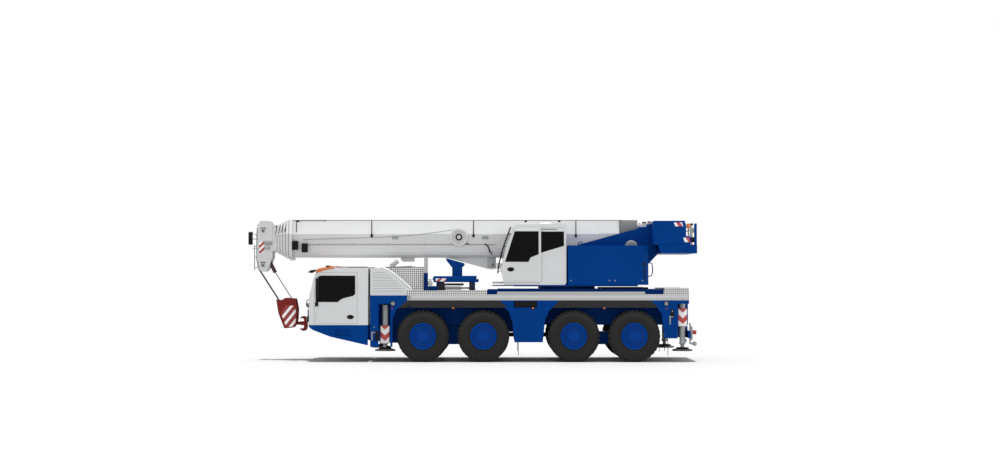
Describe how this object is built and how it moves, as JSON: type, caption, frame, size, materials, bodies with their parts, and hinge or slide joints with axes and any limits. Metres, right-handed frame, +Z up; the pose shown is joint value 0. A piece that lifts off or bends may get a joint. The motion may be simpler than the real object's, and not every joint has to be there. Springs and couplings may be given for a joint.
{
  "type": "four-axle mobile crane",
  "caption": "All-terrain mobile crane: blue carrier, white driver's cab and crane cab, and a light grey telescopic boom stowed forward over the cab.",
  "frame": {"origin": "on the ground under the middle of the machine's overall length and width", "axes": "+Z up, front toward -X, operator's cab side toward -Y, +X to the rear"},
  "size_m": [12.539, 2.6, 3.95],
  "materials": {
    "chassis_blue": "satin blue frame paint",
    "body_blue": "gloss blue body paint",
    "weight_blue": "gloss blue paint over cast ballast",
    "cab_white": "gloss white cab paint",
    "boom_grey": "light grey boom paint",
    "fender_grey": "dark grey moulded plastic",
    "deck_aluminium": "chequer plate, bare",
    "axle_steel": "dark painted castings",
    "exhaust_steel": "heat-dulled steel",
    "jack_steel": "grey paint over steel",
    "winch_steel": "dark grey paint",
    "rod_chrome": "ground chrome",
    "rope_steel": "greased wire rope",
    "hook_red": "red paint",
    "tyre_rubber": "black rubber",
    "cab_glass": "dark tinted glass",
    "cab_trim": "dark grey trim",
    "lamp_plastic": "clear and coloured lenses"
  },
  "bodies": {
    "carrier": {"chassis_frame": "chassis_blue", "drivetrain": "axle_steel", "body_skirts": "body_blue", "fenders": "fender_grey", "deck_plates": "deck_aluminium", "boom_rest": "body_blue", "engine_cowl": "cab_white", "exhaust": "exhaust_steel", "carrier_cab_shell": "cab_white", "carrier_cab_glass": "cab_glass", "carrier_cab_interior": "cab_trim", "lamps": "lamp_plastic"},
    "superstructure": {"superstructure_frame": "body_blue", "machinery_housing": "body_blue", "counterweight": "weight_blue", "hoist_winch": "winch_steel", "crane_cab_shell": "cab_white", "crane_cab_glass": "cab_glass", "crane_cab_interior": "cab_trim"},
    "carrier_door_left": {"carrier_door_left": "cab_white", "carrier_door_left_glass": "cab_glass"},
    "carrier_door_right": {"carrier_door_right": "cab_white", "carrier_door_right_glass": "cab_glass"},
    "outrigger_front_left": {"outrigger_beam_front_left": "body_blue"},
    "jack_front_left": {"outrigger_jack_front_left": "jack_steel"},
    "outrigger_front_right": {"outrigger_beam_front_right": "body_blue"},
    "jack_front_right": {"outrigger_jack_front_right": "jack_steel"},
    "outrigger_rear_left": {"outrigger_beam_rear_left": "body_blue"},
    "jack_rear_left": {"outrigger_jack_rear_left": "jack_steel"},
    "outrigger_rear_right": {"outrigger_beam_rear_right": "body_blue"},
    "jack_rear_right": {"outrigger_jack_rear_right": "jack_steel"},
    "knuckle_1_left": {"knuckle_1_left": "axle_steel"},
    "wheel_1_left": {"wheel_1_left": "tyre_rubber"},
    "knuckle_1_right": {"knuckle_1_right": "axle_steel"},
    "wheel_1_right": {"wheel_1_right": "tyre_rubber"},
    "knuckle_2_left": {"knuckle_2_left": "axle_steel"},
    "wheel_2_left": {"wheel_2_left": "tyre_rubber"},
    "knuckle_2_right": {"knuckle_2_right": "axle_steel"},
    "wheel_2_right": {"wheel_2_right": "tyre_rubber"},
    "knuckle_3_left": {"knuckle_3_left": "axle_steel"},
    "wheel_3_left": {"wheel_3_left": "tyre_rubber"},
    "knuckle_3_right": {"knuckle_3_right": "axle_steel"},
    "wheel_3_right": {"wheel_3_right": "tyre_rubber"},
    "knuckle_4_left": {"knuckle_4_left": "axle_steel"},
    "wheel_4_left": {"wheel_4_left": "tyre_rubber"},
    "knuckle_4_right": {"knuckle_4_right": "axle_steel"},
    "wheel_4_right": {"wheel_4_right": "tyre_rubber"},
    "crane_cab_door": {"crane_cab_door": "cab_white", "crane_cab_door_glass": "cab_glass"},
    "boom_base": {"boom_base": "boom_grey"},
    "lift_barrel": {"lift_cylinder_barrel": "body_blue"},
    "lift_rod": {"lift_cylinder_rod": "rod_chrome"},
    "boom_section_1": {"boom_section_1": "boom_grey"},
    "boom_section_2": {"boom_section_2": "boom_grey"},
    "boom_section_3": {"boom_section_3": "boom_grey"},
    "boom_section_4": {"boom_section_4": "boom_grey"},
    "boom_section_5": {"boom_section_5": "boom_grey"},
    "hook": {"hook_block": "hook_red", "hoist_falls": "rope_steel"}
  },
  "joints": [
    {"name": "carrier_door_left", "type": "hinge", "parent": "carrier", "child": "carrier_door_left", "pos_m": [-4.2605, -1.266, 1.418], "axis": [0, 0, -1], "range_deg": [0, 70]},
    {"name": "carrier_door_right", "type": "hinge", "parent": "carrier", "child": "carrier_door_right", "pos_m": [-4.2605, 1.266, 1.418], "axis": [0, 0, 1], "range_deg": [0, 70]},
    {"name": "outrigger_front_left", "type": "slide", "parent": "carrier", "child": "outrigger_front_left", "axis": [0, -1, 0], "range_m": [0, 1.85]},
    {"name": "jack_front_left", "type": "slide", "parent": "outrigger_front_left", "child": "jack_front_left", "axis": [0, 0, -1], "range_m": [0, 0.55]},
    {"name": "outrigger_front_right", "type": "slide", "parent": "carrier", "child": "outrigger_front_right", "axis": [0, 1, 0], "range_m": [0, 1.85]},
    {"name": "jack_front_right", "type": "slide", "parent": "outrigger_front_right", "child": "jack_front_right", "axis": [0, 0, -1], "range_m": [0, 0.55]},
    {"name": "outrigger_rear_left", "type": "slide", "parent": "carrier", "child": "outrigger_rear_left", "axis": [0, -1, 0], "range_m": [0, 1.85]},
    {"name": "jack_rear_left", "type": "slide", "parent": "outrigger_rear_left", "child": "jack_rear_left", "axis": [0, 0, -1], "range_m": [0, 0.55]},
    {"name": "outrigger_rear_right", "type": "slide", "parent": "carrier", "child": "outrigger_rear_right", "axis": [0, 1, 0], "range_m": [0, 1.85]},
    {"name": "jack_rear_right", "type": "slide", "parent": "outrigger_rear_right", "child": "jack_rear_right", "axis": [0, 0, -1], "range_m": [0, 0.55]},
    {"name": "steer_1_left", "type": "hinge", "parent": "carrier", "child": "knuckle_1_left", "pos_m": [-1.2845, -0.95, 0.712], "axis": [0, 0, 1], "range_deg": [-30, 30]},
    {"name": "spin_1_left", "type": "hinge", "parent": "knuckle_1_left", "child": "wheel_1_left", "pos_m": [-1.2845, -1.08, 0.712], "axis": [0, 1, 0], "continuous": true},
    {"name": "steer_1_right", "type": "hinge", "parent": "carrier", "child": "knuckle_1_right", "pos_m": [-1.2845, 0.95, 0.712], "axis": [0, 0, 1], "range_deg": [-30, 30]},
    {"name": "spin_1_right", "type": "hinge", "parent": "knuckle_1_right", "child": "wheel_1_right", "pos_m": [-1.2845, 1.08, 0.712], "axis": [0, 1, 0], "continuous": true},
    {"name": "steer_2_left", "type": "hinge", "parent": "carrier", "child": "knuckle_2_left", "pos_m": [0.3805, -0.95, 0.712], "axis": [0, 0, 1], "range_deg": [-21, 21]},
    {"name": "spin_2_left", "type": "hinge", "parent": "knuckle_2_left", "child": "wheel_2_left", "pos_m": [0.3805, -1.08, 0.712], "axis": [0, 1, 0], "continuous": true},
    {"name": "steer_2_right", "type": "hinge", "parent": "carrier", "child": "knuckle_2_right", "pos_m": [0.3805, 0.95, 0.712], "axis": [0, 0, 1], "range_deg": [-21, 21]},
    {"name": "spin_2_right", "type": "hinge", "parent": "knuckle_2_right", "child": "wheel_2_right", "pos_m": [0.3805, 1.08, 0.712], "axis": [0, 1, 0], "continuous": true},
    {"name": "steer_3_left", "type": "hinge", "parent": "carrier", "child": "knuckle_3_left", "pos_m": [2.8655, -0.95, 0.712], "axis": [0, 0, -1], "range_deg": [-21, 21]},
    {"name": "spin_3_left", "type": "hinge", "parent": "knuckle_3_left", "child": "wheel_3_left", "pos_m": [2.8655, -1.08, 0.712], "axis": [0, 1, 0], "continuous": true},
    {"name": "steer_3_right", "type": "hinge", "parent": "carrier", "child": "knuckle_3_right", "pos_m": [2.8655, 0.95, 0.712], "axis": [0, 0, -1], "range_deg": [-21, 21]},
    {"name": "spin_3_right", "type": "hinge", "parent": "knuckle_3_right", "child": "wheel_3_right", "pos_m": [2.8655, 1.08, 0.712], "axis": [0, 1, 0], "continuous": true},
    {"name": "steer_4_left", "type": "hinge", "parent": "carrier", "child": "knuckle_4_left", "pos_m": [4.5305, -0.95, 0.712], "axis": [0, 0, -1], "range_deg": [-30, 30]},
    {"name": "spin_4_left", "type": "hinge", "parent": "knuckle_4_left", "child": "wheel_4_left", "pos_m": [4.5305, -1.08, 0.712], "axis": [0, 1, 0], "continuous": true},
    {"name": "steer_4_right", "type": "hinge", "parent": "carrier", "child": "knuckle_4_right", "pos_m": [4.5305, 0.95, 0.712], "axis": [0, 0, -1], "range_deg": [-30, 30]},
    {"name": "spin_4_right", "type": "hinge", "parent": "knuckle_4_right", "child": "wheel_4_right", "pos_m": [4.5305, 1.08, 0.712], "axis": [0, 1, 0], "continuous": true},
    {"name": "slew", "type": "hinge", "parent": "carrier", "child": "superstructure", "pos_m": [2.7205, 0, 2.07], "axis": [0, 0, 1], "continuous": true},
    {"name": "crane_cab_door", "type": "slide", "parent": "superstructure", "child": "crane_cab_door", "axis": [1, 0, 0], "range_m": [0, 0.62]},
    {"name": "luff", "type": "hinge", "parent": "superstructure", "child": "boom_base", "pos_m": [4.5325, 0, 3.431], "axis": [0, 1, 0], "range_deg": [0, 82]},
    {"name": "lift_barrel", "type": "hinge", "parent": "superstructure", "child": "lift_barrel", "pos_m": [3.7005, 0, 2.357], "axis": [0, 1, 0], "range_deg": [0, 79.2]},
    {"name": "lift_rod", "type": "slide", "parent": "lift_barrel", "child": "lift_rod", "axis": [-0.9949, 0, 0.1005], "range_m": [0, 1.774]},
    {"name": "telescope_1", "type": "slide", "parent": "boom_base", "child": "boom_section_1", "axis": [-1, 0, 0], "range_m": [0, 8]},
    {"name": "telescope_2", "type": "slide", "parent": "boom_section_1", "child": "boom_section_2", "axis": [-1, 0, 0], "range_m": [0, 8]},
    {"name": "telescope_3", "type": "slide", "parent": "boom_section_2", "child": "boom_section_3", "axis": [-1, 0, 0], "range_m": [0, 8]},
    {"name": "telescope_4", "type": "slide", "parent": "boom_section_3", "child": "boom_section_4", "axis": [-1, 0, 0], "range_m": [0, 8]},
    {"name": "telescope_5", "type": "slide", "parent": "boom_section_4", "child": "boom_section_5", "axis": [-1, 0, 0], "range_m": [0, 8]},
    {"name": "hook_swing", "type": "hinge", "parent": "boom_section_5", "child": "hook", "pos_m": [-5.8465, 0, 2.674], "axis": [0, -1, 0], "range_deg": [0, 49.5]}
  ],
  "couplings": [
    {"joint": "steer_1_right", "follows": "steer_1_left", "ratio": 1},
    {"joint": "steer_2_left", "follows": "steer_1_left", "ratio": 0.7},
    {"joint": "steer_2_right", "follows": "steer_1_left", "ratio": 0.7},
    {"joint": "steer_4_right", "follows": "steer_4_left", "ratio": 1},
    {"joint": "steer_3_left", "follows": "steer_4_left", "ratio": 0.7},
    {"joint": "steer_3_right", "follows": "steer_4_left", "ratio": 0.7},
    {"joint": "lift_barrel", "follows": "luff", "ratio": 0.95998},
    {"joint": "lift_rod", "follows": "luff", "m_per_rad": 1.2358},
    {"joint": "hook_swing", "follows": "luff", "ratio": 0.59756}
  ]
}
